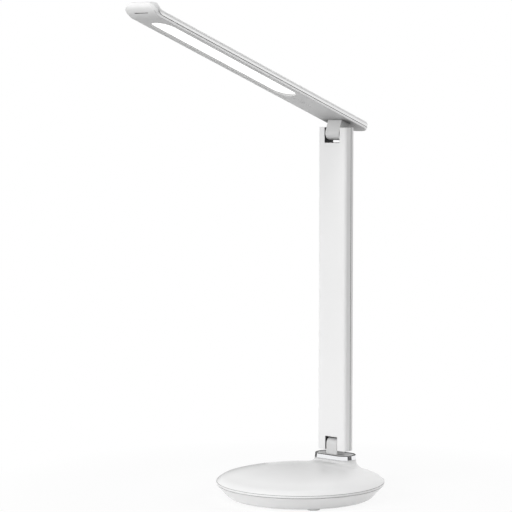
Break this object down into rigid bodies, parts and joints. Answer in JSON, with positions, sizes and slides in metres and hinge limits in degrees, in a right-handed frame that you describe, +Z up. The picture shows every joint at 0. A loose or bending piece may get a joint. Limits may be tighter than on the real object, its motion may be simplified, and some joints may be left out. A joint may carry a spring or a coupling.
{
  "type": "folding led desk lamp",
  "caption": "Folding LED desk lamp with a round domed base, flat swing arm on a hinge post and a slim head with an upturned nose and a long recessed light window.",
  "frame": {"origin": "on the table, under the middle of the round base", "axes": "+Z up, -Y is the side the head reaches towards, +X along both hinge pins"},
  "size_m": [0.17, 0.3192, 0.4919],
  "materials": {
    "white_gloss": "white gloss moulding",
    "white_satin": "white satin moulding",
    "opal": "opal light diffuser",
    "grey_plastic": "grey satin moulding",
    "chrome": "bright plating",
    "cast_white": "light grey paint on cast metal",
    "steel": "plain steel",
    "ballast": "dark cast weight",
    "rubber": "pale rubber",
    "board": "green circuit board",
    "board_white": "white circuit board",
    "chip": "yellow light chips",
    "component": "dark electronic parts",
    "cable": "pale ribbon cable"
  },
  "bodies": {
    "base": {"base_bowl": "white_satin", "base_top_cover": "white_gloss", "ballast_plate": "ballast", "rubber_feet": "rubber", "base_screws": "steel", "driver_board": "board", "driver_components": "component", "power_inlet": "steel", "inlet_tongue": "component", "boss_stiffener": "steel", "hinge_post": "cast_white", "post_screws": "steel", "collar_ring": "chrome", "collar_plate": "grey_plastic", "base_hinge_pin": "steel", "base_hinge_nuts": "steel"},
    "arm": {"arm_front_shell": "white_satin", "arm_back_cover": "white_satin", "arm_lower_bracket": "steel", "arm_upper_bracket": "steel", "lower_spring_washers": "steel", "upper_spring_washers": "steel", "bracket_screws": "steel", "arm_cable": "cable"},
    "head": {"hinge_tongue": "cast_white", "head_hinge_pin": "steel", "head_hinge_nuts": "steel", "head_spine": "steel", "tongue_screws": "steel", "head_bezel": "white_satin", "head_top_cover": "white_gloss", "light_diffuser": "opal", "reflector_frame": "white_satin", "led_board": "board_white", "led_chips": "chip", "touch_board": "board", "touch_springs": "steel"}
  },
  "joints": [
    {"name": "arm_fold", "type": "hinge", "parent": "base", "child": "arm", "pos_m": [0, 0.0556, 0.0477], "axis": [1, 0, 0], "range_deg": [-15, 62]},
    {"name": "head_fold", "type": "hinge", "parent": "arm", "child": "head", "pos_m": [0, 0.0556, 0.3665], "axis": [1, 0, 0], "range_deg": [-70, 109.6]}
  ]
}
